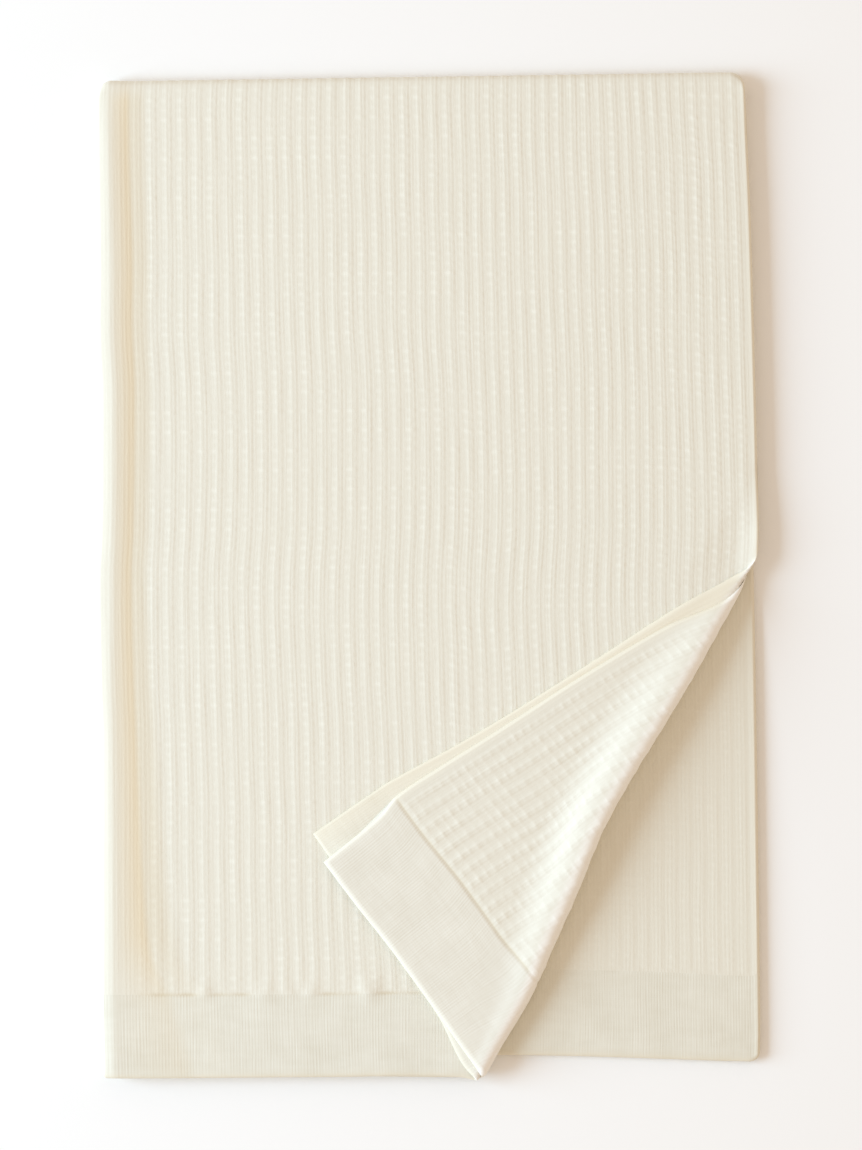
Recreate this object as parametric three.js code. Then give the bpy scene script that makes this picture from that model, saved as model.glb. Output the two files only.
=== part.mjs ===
// A cashmere throw, knitted in one piece and folded in four, with one corner of its upper leaf turned back.
// Millimetres, +Z up. It lies on z = 0, with the cross fold towards +Y and the lengthwise fold towards -X.
import * as THREE from "three";

// The flat cloth: a ribbed field with a plain hem band at each end.
const clothWidth = 1300;
const clothLength = 2000;
const clothThickness = 3;
const halfWidth = clothWidth / 2;
const halfLength = clothLength / 2;
const halfThickness = clothThickness / 2;
const ribsEachHalf = 46;
const ribPitch = halfWidth / ribsEachHalf;
const ribRelief = 0.4;
const hemBand = 82;
const seamAlong = halfLength - hemBand;
const seamDepth = 0.7;
const seamSpread = 6;

// The folded stack: two leaves of two plies each, with a little air between plies.
const plyGap = 1.5;
const plyPitch = clothThickness + plyGap;
const plyOffset = plyPitch / 2;
const stackMiddle = 2 * plyPitch - plyGap / 2;
const upperLeafMiddle = stackMiddle + plyPitch;

// A place on the cloth is (across, along). Across is measured from the lengthwise fold: the outer plies are
// on the positive side, the inner plies on the negative side. Along is measured from the cross fold: the
// upper leaf is on the positive side, the lower leaf on the negative side.
const sideFoldRun = 9;
const crossFoldRun = (Math.PI / 2) * plyPitch;
const flatWidth = halfWidth - sideFoldRun;
const flatLength = halfLength - crossFoldRun;

// The lengthwise fold: where it lies, and the low uneven ridge that it raises on the upper leaf. The ridge
// rises to a crest a climb's width in from the fold, and its far slope runs down over the reach to a crease.
const sideFold = [
  { along: -1000, x: -321, height: 0, climb: 7, reach: 20 },
  { along: -30, x: -325, height: 0, climb: 7, reach: 20 },
  { along: 8, x: -330, height: 1.2, climb: 7, reach: 19 },
  { along: 60, x: -330.2, height: 2.2, climb: 7, reach: 19 },
  { along: 180, x: -328.7, height: 2.5, climb: 8, reach: 20 },
  { along: 250, x: -329, height: 2.5, climb: 8, reach: 20 },
  { along: 310, x: -326.5, height: 2.5, climb: 8, reach: 20 },
  { along: 450, x: -327.2, height: 2.4, climb: 8, reach: 19 },
  { along: 493, x: -329.2, height: 2.2, climb: 9, reach: 18 },
  { along: 600, x: -327.8, height: 2.2, climb: 7, reach: 21 },
  { along: 660, x: -325.8, height: 2.3, climb: 6, reach: 23 },
  { along: 820, x: -325.7, height: 2.4, climb: 7, reach: 28 },
  { along: 880, x: -325.7, height: 2.3, climb: 7, reach: 34 },
  { along: 930, x: -325.6, height: 2.2, climb: 7, reach: 52 },
  { along: 1000, x: -324, height: 2.2, climb: 7, reach: 70 },
];
const ridgeEnd = 3 * ribPitch;
const ridgeKink = 0.6;

// The ribs lie wider apart beside the lengthwise fold than at the selvedge.
const ribSpread = 0.09;

// The open selvedges: where the outer and the inner ply of a leaf end.
const upperSelvedges = [
  { along: 0, outer: 314, inner: 310 },
  { along: 25, outer: 315.5, inner: 311.5 },
  { along: 125, outer: 320, inner: 316 },
  { along: 245, outer: 323.5, inner: 319.5 },
  { along: 365, outer: 326.5, inner: 322.5 },
  { along: 450, outer: 327.8, inner: 323 },
  { along: 523, outer: 325, inner: 311 },
  { along: 582, outer: 328.2, inner: 317.8 },
  { along: 680, outer: 332, inner: 325.2 },
  { along: 780, outer: 337, inner: 329 },
  { along: 850, outer: 343, inner: 332.4 },
  { along: 902, outer: 349.5, inner: 333.6 },
  { along: 930, outer: 350.3, inner: 326.5 },
  { along: 1000, outer: 350.7, inner: 321 },
];
const lowerSelvedges = [
  { along: 0, outer: 314, inner: 310 },
  { along: 490, outer: 321, inner: 323 },
  { along: 970, outer: 328, inner: 330 },
  { along: 1000, outer: 327.5, inner: 329.5 },
];

// The hems: where each leaf ends, from the inner selvedge round the lengthwise fold to the outer selvedge.
const upperHem = [
  { across: -650, y: -509.5 },
  { across: -600, y: -508 },
  { across: -540, y: -504.5 },
  { across: -400, y: -503 },
  { across: -9, y: -500 },
  { across: 9, y: -503 },
  { across: 200, y: -502 },
  { across: 330, y: -502 },
  { across: 372, y: -512 },
  { across: 430, y: -504 },
  { across: 650, y: -502 },
];
const lowerHem = [
  { across: -650, y: -488 },
  { across: -400, y: -481 },
  { across: -200, y: -487 },
  { across: -9, y: -492 },
  { across: 9, y: -492 },
  { across: 200, y: -486 },
  { across: 400, y: -479.5 },
  { across: 650, y: -486 },
];
const hemCorner = 10;

// The hem bands are drawn out to different lengths, most on the turned corner.
const upperBand = [
  { across: -650, length: 96 },
  { across: -330, length: 94 },
  { across: -9, length: 84 },
  { across: 650, length: 84 },
];
const lowerBand = [
  { across: -650, length: 88 },
  { across: 650, length: 88 },
];

// The cross fold: a straight line that rises to the right and rounds off at both ends.
const crossFoldY = 499.2;
const crossFoldSlope = 0.01466;
const crossFoldCorner = 15;
const crossFoldEnd = upperSelvedges[0].outer;
const sideFoldCorner = 13;

// The turned corner is mirrored on a line that runs from the right edge to the hem. It rises round the roll,
// which is low at the selvedge and tall in the middle, turns over its edge and a flatter crown, and settles
// down on the leaf. Where the roll starts its plies are pulled thin: the loft is the share of their thickness
// left.
const rollStart = new THREE.Vector2(322, 15);
const rollEnd = new THREE.Vector2(54, -500);
const rollLine = rollEnd.clone().sub(rollStart).normalize();
const rollAcross = new THREE.Vector2(-rollLine.y, rollLine.x);
const roll = [
  { out: -40, height: 5.6, edge: 2.6, loft: 0.5, swing: 11 },
  { out: -8, height: 5.6, edge: 2.6, loft: 0.5, swing: 5.6 },
  { out: 6, height: 5.8, edge: 2.7, loft: 0.5, swing: 4.4 },
  { out: 22, height: 6.8, edge: 3, loft: 0.6, swing: 4 },
  { out: 40, height: 9.4, edge: 3.8, loft: 0.75, swing: 3.6 },
  { out: 70, height: 13, edge: 5, loft: 1, swing: 2.7 },
  { out: 130, height: 18, edge: 5.2, loft: 1, swing: 0.7 },
  { out: 190, height: 21, edge: 5.5, loft: 1, swing: -3 },
  { out: 250, height: 23, edge: 5.6, loft: 1, swing: -7.5 },
  { out: 310, height: 23.5, edge: 5.8, loft: 1, swing: -8.6 },
  { out: 370, height: 20, edge: 7, loft: 1, swing: -2.8 },
  { out: 430, height: 16, edge: 8, loft: 1, swing: 1.4 },
  { out: 490, height: 12.5, edge: 7, loft: 1, swing: 5 },
  { out: 550, height: 10.5, edge: 5.5, loft: 1, swing: 1.6 },
  { out: 580, height: 10, edge: 5, loft: 1, swing: 1 },
];
const crownRatio = 2;
const settleRatio = 3.4;
const takeUpRatio = 2.6;

// The steps in which the cloth rises, turns over the edge, crosses the crown and settles.
const rollParts = [4, 3, 2, 3];
const rollSteps = rollParts.reduce((sum, steps) => sum + steps);

// The upper leaf rises at the selvedge where the roll pulls on it.
const pullRise = 4.5;
const pullReach = 20;

// The value of a column at any place in a table: a smooth curve through the rows, level beyond the ends.
// The first column of a table holds the places.
function read(rows, place, column) {
  const key = Object.keys(rows[0])[0];
  const last = rows.length - 1;
  if (place <= rows[0][key]) return rows[0][column];
  if (place >= rows[last][key]) return rows[last][column];
  const next = rows.findIndex((row) => row[key] > place);
  const slope = (row) => {
    const before = rows[Math.max(row - 1, 0)];
    const after = rows[Math.min(row + 1, last)];
    return (after[column] - before[column]) / (after[key] - before[key]);
  };
  const [from, to] = [rows[next - 1], rows[next]];
  const span = to[key] - from[key];
  const t = (place - from[key]) / span;
  const bend = t * t * (3 - 2 * t);
  const leave = t * (1 - t) * (1 - t) * span * slope(next - 1);
  const arrive = t * t * (t - 1) * span * slope(next);
  return from[column] * (1 - bend) + to[column] * bend + leave + arrive;
}

// Rises from 0 to 1 as the value goes from one bound to the other.
function ramp(value, from, to) {
  return THREE.MathUtils.clamp((value - from) / (to - from), 0, 1);
}

// How far a corner of the given radius is drawn in, at a distance from the end of its edge.
function cornerDrop(distance, radius) {
  const inside = THREE.MathUtils.clamp(radius - distance, 0, radius);
  return radius - Math.sqrt(radius * radius - inside * inside);
}

// The height of the ridge beside the lengthwise fold. It ends on the cross fold.
function ridgeHeight(past, along) {
  const height = Math.max(read(sideFold, along, "height"), 0) * ramp(along, -0.8 * crossFoldRun, 0);
  const climb = read(sideFold, along, "climb");
  if (past < climb) return (height * past) / climb;
  const share = Math.min((past - climb) / read(sideFold, along, "reach"), 1);
  return height * (1 - share * (ridgeKink + (1 - ridgeKink) * share));
}

// The section through the lengthwise fold. It gives the distance from the fold and the height above the
// middle of the leaf, for a point that is lifted off the middle of the cloth.
function sideSection(across, along, lift) {
  if (across <= -sideFoldRun) {
    return { out: -across - sideFoldRun, height: -plyOffset - lift };
  }
  const tilt = Math.atan(ridgeHeight(1, along));
  if (across < sideFoldRun) {
    const turn = ((across + sideFoldRun) / (2 * sideFoldRun)) * (Math.PI - tilt);
    const radius = plyOffset + lift;
    return { out: -radius * Math.sin(turn), height: -radius * Math.cos(turn) };
  }
  const past = across - sideFoldRun;
  const near = 1.5;
  const slope = (ridgeHeight(past + near, along) - ridgeHeight(past - near, along)) / (2 * near);
  const length = Math.hypot(1, slope);
  const out = past - plyOffset * Math.sin(tilt) - (lift * slope) / length;
  return { out, height: plyOffset * Math.cos(tilt) + ridgeHeight(past, along) + lift / length };
}

// Moves the seam to where each hem band begins, and draws out the band and the field beside it.
function drawOutHem(across, along) {
  const band = read(along > 0 ? upperBand : lowerBand, across, "length");
  const place = Math.abs(along);
  const inField = (place * (halfLength - band)) / seamAlong;
  const inBand = halfLength - ((halfLength - place) * band) / hemBand;
  return Math.sign(along) * (place < seamAlong ? inField : inBand);
}

// The leaf laid out flat, before its corner is turned back.
function layFlat(across, clothAlong, lift) {
  const along = drawOutHem(across, clothAlong);
  const section = sideSection(across, along, lift);
  const ply = across > 0 ? "outer" : "inner";
  const edge = read(along > 0 ? upperSelvedges : lowerSelvedges, Math.abs(along), ply);
  const left = read(sideFold, along, "x");
  const share = section.out / flatWidth;
  const spreadShare = across > 0 ? share + ribSpread * share * (1 - share) : share;
  const x = left + (section.out > 0 ? (edge - left) * spreadShare : section.out);
  const openCorner = cornerDrop(crossFoldEnd - x, crossFoldCorner);
  const foldCorner = cornerDrop(x - left + plyPitch, sideFoldCorner);
  const crest = crossFoldY + crossFoldSlope * x - openCorner - foldCorner;
  const centre = crest - plyPitch - plyOffset - halfThickness;
  const beyond = Math.abs(along) - crossFoldRun;
  if (beyond < 0) {
    const angle = along / plyPitch;
    const radius = plyPitch + section.height;
    return { x, y: centre + radius * Math.cos(angle), z: stackMiddle + radius * Math.sin(angle) };
  }
  const side = Math.sign(along);
  const z = stackMiddle + side * (plyPitch + section.height);
  const roundOff = side < 0 ? cornerDrop(halfWidth - Math.abs(across), hemCorner) : 0;
  const hem = read(side > 0 ? upperHem : lowerHem, across, "y") + roundOff;
  return { x, y: centre - (beyond / flatLength) * (centre - hem), z };
}

// The roll at a point of the upper leaf: its shape there, and how much cloth has entered it.
function rollAt(x, y) {
  const from = new THREE.Vector2(x, y).sub(rollStart);
  const out = from.dot(rollLine);
  const side = from.dot(rollAcross);
  const tall = read(roll, out, "height");
  const edge = read(roll, out, "edge");
  const loft = read(roll, out, "loft");
  const [root, crown, easing] = [tall - edge, crownRatio * tall, settleRatio * tall];
  const settle = Math.acos(1 - (tall - 2 * plyPitch * loft) / (crown + easing));
  const start = read(roll, out, "swing") - root - (plyOffset + halfThickness) * loft;
  const quarter = Math.PI / 2;
  const spans = [quarter * root, quarter * edge, crown * settle, easing * settle];
  return { out, side, tall, root, edge, loft, crown, easing, settle, start, spans, run: side - start };
}

// The number of the roll's lines that a point has passed, with the part of the next one.
function rollIndex(here) {
  let [left, index] = [here.run, 0];
  for (const [part, span] of here.spans.entries()) {
    if (left < span) return index + (rollParts[part] * left) / span;
    left -= span;
    index += rollParts[part];
  }
  return index + left / here.easing;
}

// A point of the folded throw. The turned corner rises, goes over an edge and a crown, and comes down.
// What the roll takes up more or less than a sharp fold is made good on the way.
function place(across, along, lift) {
  const flat = layFlat(across, along, lift);
  if (along < crossFoldRun) return new THREE.Vector3(flat.x, flat.y, flat.z);
  const here = rollAt(flat.x, flat.y);
  const { root, edge, crown, easing, settle, start, spans } = here;
  const run = Math.max(here.run, 0);
  const halfTurn = spans[0] + spans[1];
  const rising = Math.min(run / root, Math.PI / 2);
  const tipping = THREE.MathUtils.clamp((run - spans[0]) / edge, 0, Math.PI / 2);
  const onCrown = THREE.MathUtils.clamp((run - halfTurn) / crown, 0, settle);
  const past = Math.max(run - halfTurn - spans[2], 0);
  const beyond = Math.max(past - spans[3], 0);
  const dip = onCrown - (past - beyond) / easing;
  const heading = rising + tipping + dip;
  const surplus = 2 * start + root - edge + halfTurn + (crown + easing) * (settle - Math.sin(settle));
  const taken = surplus * THREE.MathUtils.smoothstep(run - halfTurn, 0, takeUpRatio * here.tall);
  let back = edge * (1 - Math.cos(tipping)) + crown * Math.sin(onCrown) + taken;
  let down = crown * (1 - Math.cos(onCrown));
  if (past > 0) {
    back += easing * (Math.sin(settle) - Math.sin(dip)) + beyond;
    down += easing * (Math.cos(dip) - Math.cos(settle));
  }
  const height = (flat.z - upperLeafMiddle) * (1 - (1 - here.loft) * ramp(here.run, -50, -20));
  const reach = start + root * Math.sin(rising) - back - height * Math.sin(heading);
  const up = root * (1 - Math.cos(rising)) + edge * Math.sin(tipping) - down + height * Math.cos(heading);
  const rolled = rollStart.clone().addScaledVector(rollLine, here.out).addScaledVector(rollAcross, reach);
  const { x, y } = run > 0 ? rolled : flat;
  const besideRoll = ramp(y, 105, 45) * ramp(y, -30, 10);
  const pull = ramp(x, rollStart.x - pullReach, rollStart.x + 6) ** 1.5 * besideRoll;
  return new THREE.Vector3(x, y, upperLeafMiddle + (run > 0 ? up : height) + pullRise * pull);
}

// How strongly the ribs are raised. They show on the upper leaf, on the turned corner and on the lower leaf
// beside it.
const ribsFrom = 26 * ribPitch;
function ribShare(across, along) {
  const selvedge = ramp(halfWidth - Math.abs(across), 3, 13);
  const band = ramp(Math.abs(along), seamAlong, seamAlong - seamSpread);
  const { x, y } = layFlat(across, along, 0);
  const here = rollAt(x, y);
  if (across > 0) {
    const field = ramp(across, ridgeEnd, ridgeEnd + ribPitch / 2) * ramp(along, -crossFoldRun, 0);
    return selvedge * band * field * ramp(rollIndex(here), 3, 2);
  }
  const corner = ramp(-across, ribsFrom, ribsFrom + ribPitch / 2);
  const shown = along > 0 ? ramp(rollIndex(here), 0, 1) : ramp(here.side, -60, -45);
  return selvedge * band * corner * shown;
}

// The height of the knitted face: ribs along the field, and a groove where the hem band is joined on.
function faceLift(across, along) {
  const underneath = across > 0 && along < 0;
  const wave = 4 * Math.abs(across / ribPitch - Math.floor(across / ribPitch) - 0.5) - 1;
  const groove = underneath ? 0 : ramp(Math.abs(Math.abs(along) - seamAlong), seamSpread, 0);
  return halfThickness + ribRelief * wave * ribShare(across, along) - seamDepth * groove;
}

// The mesh: columns of points down the cloth, on its face and on its back, joined strip by strip.
const points = [];
const triangles = [];

function pointOn(across, along, face) {
  return place(across, along, face ? faceLift(across, along) : -halfThickness);
}

function addTriangle(a, b, c, flip) {
  triangles.push(a, flip ? c : b, flip ? b : c);
}

// The place in a span where a rising measure passes zero, or null where it doesn't.
function crossing(measure, from, to) {
  if (measure(from) > 0 || measure(to) < 0) return null;
  let [low, high] = [from, to];
  for (let step = 0; step < 40; step++) {
    const middle = (low + high) / 2;
    if (measure(middle) > 0) high = middle;
    else low = middle;
  }
  return (low + high) / 2;
}

// How far a place is past a line of the roll.
function pastLine(across, along, line) {
  const { x, y } = layFlat(across, along, 0);
  return rollIndex(rollAt(x, y)) - line;
}

const crossFoldRows = [2, 1, 0, -1, -2].map((half) => (crossFoldRun * half) / 2);
const fieldRows = [250, 500, 750];
const onField = (row) => row.along > crossFoldRun && row.along < seamAlong;
const ridgeRows = sideFold.filter(onField).map((row) => row.along);
const selvedgeRows = upperSelvedges.filter(onField).map((row) => row.along);
const lowerTop = -2 * crossFoldRun;

// The rows of a column. The back is plain, and follows the rows of the face only beside the selvedges. It has
// a row of its own a little before the roll, and stays flat up to there.
const approachRun = 25;
const besideSelvedge = (across) => Math.abs(across) > halfWidth - 2 * ribPitch;
function upperRows(across, face) {
  const lines = Array.from({ length: rollSteps + 1 }, (unused, line) => line);
  const passes = lines.map((line) => crossing((along) => pastLine(across, along, line), 100, halfLength));
  const rolled = passes.filter((along) => along !== null && along < halfLength - 0.5);
  const first = rolled.length > 0 ? rolled[0] : Infinity;
  const last = rolled.length > rollSteps ? rolled[rollSteps] : Infinity;
  const besideFold = Math.abs(across) < ridgeEnd + ribPitch;
  const rows = besideFold ? ridgeRows : besideSelvedge(across) ? selvedgeRows : fieldRows;
  const seam = [seamAlong - seamSpread, seamAlong, seamAlong + seamSpread];
  const clear = (along) => along < first - seamSpread || along > last + seamSpread;
  const seamRows = seam.filter((along) => clear(along) || (along === seamAlong && across < 0));
  const shown = face || besideSelvedge(across) ? seamRows : [];
  const open = rolled.filter((along) => shown.every((row) => Math.abs(row - along) > 1));
  const approach = face || first === Infinity ? [] : [first - approachRun];
  return [halfLength, ...shown, ...open, ...approach, ...rows.filter(clear), ...crossFoldRows];
}

function lowerRows(across, face) {
  const plain = across > -sideFoldRun || !(face || besideSelvedge(across));
  if (plain) return [lowerTop, -halfLength / 2, -halfLength];
  const seam = [seamSpread, 0, -seamSpread].map((off) => off - seamAlong);
  const passes = [-60, -45].map((limit) => {
    const past = (down) => {
      const { x, y } = layFlat(across, -down, 0);
      return rollAt(x, y).side - limit;
    };
    return crossing(past, 100, seamAlong - 2 * seamSpread);
  });
  const shown = passes.filter((down) => down !== null).map((down) => -down);
  return [lowerTop, ...shown, ...seam, -halfLength];
}

function column(across, rows, face) {
  return [...rows]
    .sort((a, b) => b - a)
    .map((along) => {
      const spot = pointOn(across, along, face);
      points.push(spot);
      return { across, along, spot, point: points.length - 1 };
    });
}

// How far the straight line between two points strays from the cloth. A short line is a little better.
function strain(from, to, face) {
  const middle = from.spot.clone().lerp(to.spot, 0.5);
  const cloth = pointOn((from.across + to.across) / 2, (from.along + to.along) / 2, face);
  return middle.distanceTo(cloth) + 0.001 * from.spot.distanceTo(to.spot);
}

// Joins two neighbouring columns with the strip of triangles that strays least from the cloth.
function joinColumns(left, right, face) {
  const least = left.map(() => []);
  left.forEach((from, i) =>
    right.forEach((to, j) => {
      const before = Math.min(least[i - 1]?.[j] ?? Infinity, least[i][j - 1] ?? Infinity);
      least[i][j] = strain(from, to, face) + (i + j > 0 ? before : 0);
    }),
  );
  let [i, j] = [left.length - 1, right.length - 1];
  while (i + j > 0) {
    const alongLeft = (least[i - 1]?.[j] ?? Infinity) <= (least[i][j - 1] ?? Infinity);
    const third = alongLeft ? left[i - 1] : right[j - 1];
    addTriangle(left[i].point, third.point, right[j].point, !face);
    if (alongLeft) i--;
    else j--;
  }
}

// Joins the face to the back along an edge of the cloth, or two rows of points, taking both in their order.
function joinEdges(left, right, order, flip) {
  let [i, j] = [0, 0];
  while (i < left.length - 1 || j < right.length - 1) {
    const nextLeft = i < left.length - 1 ? order(left[i + 1]) : Infinity;
    const nextRight = j < right.length - 1 ? order(right[j + 1]) : Infinity;
    const alongLeft = nextLeft <= nextRight;
    const third = alongLeft ? left[i + 1] : right[j + 1];
    addTriangle(left[i].point, right[j].point, third.point, flip);
    if (alongLeft) i++;
    else j++;
  }
}

// Where the columns stand. Each line of the roll meets the hem at a column of its own.
function spread(from, to, pitch) {
  const count = Math.round(Math.abs(to - from) / pitch);
  return Array.from({ length: count + 1 }, (unused, step) => from + ((to - from) * step) / count);
}
const hemMeets = [1, -1].flatMap((side) =>
  spread(0, rollSteps, 1).map((line) => {
    const past = (out) => pastLine(side * out, halfLength, line);
    return side * crossing(past, 200, halfWidth);
  }),
);
const foldColumns = [-16, ...spread(-sideFoldRun, sideFoldRun, 3), 13, 17, 21, 26, 32, 37];
const edgeColumns = [15, 10, 5, 2, 0].flatMap((inset) => [halfWidth - inset, inset - halfWidth]);
const lastRib = halfWidth - 1.5 * ribPitch;
const fineOuter = spread(ridgeEnd, lastRib, ribPitch / 2);
const fineInner = spread(-ribsFrom, -lastRib, ribPitch / 2);
const rollByHem = spread(400, 500, ribPitch);
const bySelvedge = spread(500, lastRib, 2 * ribPitch);
const coarseOuter = [...spread(ridgeEnd, 400, 2 * ribPitch), ...rollByHem, ...bySelvedge];
const coarseInner = spread(-28, -ribsFrom, 2 * ribPitch);
const coarseCorner = [ribsFrom, ...rollByHem, ...bySelvedge].map((across) => -across);

function columnPlaces(kept, others) {
  const clear = others.filter((across) => kept.every((other) => Math.abs(other - across) > 2));
  return [...new Set([...kept, ...clear])].sort((a, b) => a - b);
}
const always = [...foldColumns, ...edgeColumns];
const upperFace = columnPlaces([...always, ...fineOuter, ...coarseInner, ...fineInner], hemMeets);
const lowerFace = columnPlaces(always, [...coarseOuter, ...coarseInner, ...fineInner]);
const back = columnPlaces([...always, ...hemMeets], [...coarseOuter, ...coarseInner, ...coarseCorner]);

const upperColumns = upperFace.map((across) => column(across, upperRows(across, true), true));
const lowerColumns = lowerFace.map((across) => column(across, lowerRows(across, true), true));
const backRows = (across) => [...upperRows(across, false), ...lowerRows(across, false)];
const backColumns = back.map((across) => column(across, backRows(across), false));

function joinAll(columns, face) {
  columns.slice(1).forEach((next, i) => joinColumns(columns[i], next, face));
}
joinAll(upperColumns, true);
joinAll(lowerColumns, true);
joinAll(backColumns, false);

const sideways = (station) => station.across;
const downwards = (station) => -station.along;
const endsOf = (columns, end) => columns.map((stations) => stations.at(end));
joinEdges(endsOf(upperColumns, -1), endsOf(lowerColumns, 0), sideways, true);
joinEdges(endsOf(upperColumns, 0), endsOf(backColumns, 0), sideways, false);
joinEdges(endsOf(lowerColumns, -1), endsOf(backColumns, -1), sideways, true);
joinEdges([...upperColumns[0], ...lowerColumns[0]], backColumns[0], downwards, true);
joinEdges([...upperColumns.at(-1), ...lowerColumns.at(-1)], backColumns.at(-1), downwards, false);

const geometry = new THREE.BufferGeometry();
geometry.setFromPoints(points);
geometry.setIndex(triangles);
geometry.computeBoundingBox();
const middle = geometry.boundingBox.getCenter(new THREE.Vector3());
geometry.translate(-middle.x, -middle.y, -geometry.boundingBox.min.z);
geometry.computeVertexNormals();

const cashmere = new THREE.MeshStandardMaterial({ color: 0xebe7d9, roughness: 0.95, metalness: 0 });
const throwMesh = new THREE.Mesh(geometry, cashmere);
throwMesh.name = "throw";

const group = new THREE.Group();
group.name = "cashmere_throw";
group.add(throwMesh);

export default group;
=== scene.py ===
# A cashmere throw, knitted in one piece and folded in four, with one corner of its upper leaf turned back.
# The cloth is laid out flat, divided finely where it shows or bends, and then folded point by point.
# Sizes are in millimetres, and become metres where the points are placed.
import math

import bmesh
import bpy
import numpy as np
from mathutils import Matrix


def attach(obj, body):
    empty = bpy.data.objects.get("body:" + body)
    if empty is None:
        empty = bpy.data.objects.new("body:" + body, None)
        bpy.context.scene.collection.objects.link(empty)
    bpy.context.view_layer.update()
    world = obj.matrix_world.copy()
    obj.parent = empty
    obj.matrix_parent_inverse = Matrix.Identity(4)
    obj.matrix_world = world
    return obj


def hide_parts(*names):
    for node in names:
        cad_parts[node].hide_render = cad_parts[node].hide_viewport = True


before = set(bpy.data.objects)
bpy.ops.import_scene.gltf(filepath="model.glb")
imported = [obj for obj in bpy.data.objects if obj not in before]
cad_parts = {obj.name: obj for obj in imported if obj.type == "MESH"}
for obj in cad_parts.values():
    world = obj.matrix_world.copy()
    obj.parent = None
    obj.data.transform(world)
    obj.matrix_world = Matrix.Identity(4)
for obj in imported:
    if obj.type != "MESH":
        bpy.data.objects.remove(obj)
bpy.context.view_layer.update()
MM = 0.001

# The flat cloth: a ribbed waffle field with a plain hem band at each end.
cloth_width = 1300
cloth_length = 2000
cloth_thickness = 3
half_width = cloth_width / 2
half_length = cloth_length / 2
half_thickness = cloth_thickness / 2
ribs_each_half = 46
rib_pitch = half_width / ribs_each_half
rows_each_half = 51
row_pitch = half_length / rows_each_half
hem_band = 82
seam_along = half_length - hem_band
seam_depth = 1.2
seam_spread = 3
seam_start = (1, 8)

# The waffle: round ribs with narrower crests, crossed by rows of which every second one is lower. It begins a
# little way in from the selvedges, is highest on the turned corner and lowest on the lower leaf.
rib_relief = 0.135
rib_crest = 0.12
row_relief = 0.11
row_shares = (0.6, 0.4)
row_on_rib = 0.7
rib_unevenness = 0.25
slow_unevenness = {"along": 31, "across": 17}
quick_unevenness = {"along": 13, "across": 41}
waffle_start = (5, 14)
corner_waffle = 1.5
lower_waffle = 0.5

# The rims: rounded and thinner at the very edge, with a bead inside it. On the turned corner they are drawn
# down to what they lie on. Stretches of the turned corner are in shares of the half turn round the roll.
edge_round = 3
edge_thinning = 0.96
edge_bulge = 0.3
edge_bead = 0.7
edge_bead_width = 2.4
bead_ends = (-0.3, 0)
bead_begins = (1.5, 1.2)
edge_droop = 2.4
edge_droop_reach = 8
droop_begins = (0, 0.5)
under_droop = 0.8
under_ply_turns = (1, 1.4)

# The folded stack: two leaves of two plies each, with a little air between plies.
ply_gap = 1.5
ply_pitch = cloth_thickness + ply_gap
ply_offset = ply_pitch / 2
stack_middle = 2 * ply_pitch - ply_gap / 2
upper_leaf_middle = stack_middle + ply_pitch

# A place on the cloth is (across, along). Across is measured from the lengthwise fold: the outer plies are
# on the positive side, the inner plies on the negative side. Along is measured from the cross fold: the upper
# leaf is on the positive side, the lower leaf on the negative side.
side_fold_run = 9
cross_fold_run = math.pi / 2 * ply_pitch
flat_width = half_width - side_fold_run
flat_length = half_length - cross_fold_run

# The lengthwise fold: where it lies, and the low uneven ridge that it raises on the upper leaf. The ridge
# rises to a crest a climb's width in from the fold, and its far slope runs down over the reach to a crease.
side_fold = [
    {"along": -1000, "x": -321, "height": 0, "climb": 7, "reach": 20},
    {"along": -30, "x": -325, "height": 0, "climb": 7, "reach": 20},
    {"along": 8, "x": -330, "height": 1.2, "climb": 7, "reach": 19},
    {"along": 60, "x": -330.2, "height": 2.2, "climb": 7, "reach": 19},
    {"along": 180, "x": -328.7, "height": 2.5, "climb": 8, "reach": 20},
    {"along": 250, "x": -329, "height": 2.5, "climb": 8, "reach": 20},
    {"along": 310, "x": -326.5, "height": 2.5, "climb": 8, "reach": 20},
    {"along": 450, "x": -327.2, "height": 2.4, "climb": 8, "reach": 19},
    {"along": 493, "x": -329.2, "height": 2.2, "climb": 9, "reach": 18},
    {"along": 600, "x": -327.8, "height": 2.2, "climb": 7, "reach": 21},
    {"along": 660, "x": -325.8, "height": 2.3, "climb": 6, "reach": 23},
    {"along": 820, "x": -325.7, "height": 2.4, "climb": 7, "reach": 28},
    {"along": 880, "x": -325.7, "height": 2.3, "climb": 7, "reach": 34},
    {"along": 930, "x": -325.6, "height": 2.2, "climb": 7, "reach": 52},
    {"along": 1000, "x": -324, "height": 2.2, "climb": 7, "reach": 70},
]
ridge_end = 3 * rib_pitch
ridge_start = 0.8 * cross_fold_run
ridge_crease = 0.93
ridge_kink = 0.6
ridge_tilt_span = 2
ridge_slope_span = 1.5

# The ribs lie wider apart beside the lengthwise fold than at the selvedge. They wander a little in slow and
# quick waves, and run straight beside the selvedges and the fold.
rib_spread = 0.09
rib_sway = 0.6
sway_from_selvedge = (5, 60)
sway_from_fold = (40, 90)
slow_sway = {"along": 67, "across": 110, "bend": 1.5, "bend_length": 83}
quick_sway = {"along": 23, "across": 37, "bend": 2, "bend_length": 140}
quick_sway_share = 0.5

# The selvedges sink a little at the open side, less on the inner plies and on the lower leaf, and not at the
# cross fold or near the roll. The upper leaf rises at the selvedge where the roll pulls on it.
edge_sink = 1
edge_sink_reach = 14
inner_sink = 0.75
lower_sink = 0.4
sink_begins = (0, 40)
sink_ends = (430, 380)
pull_rise = 4.5
pull_reach = 20
pull_past = 6
pull_curve = 1.5
pull_begins = (105, 45)
pull_ends = (-30, 10)

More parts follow.
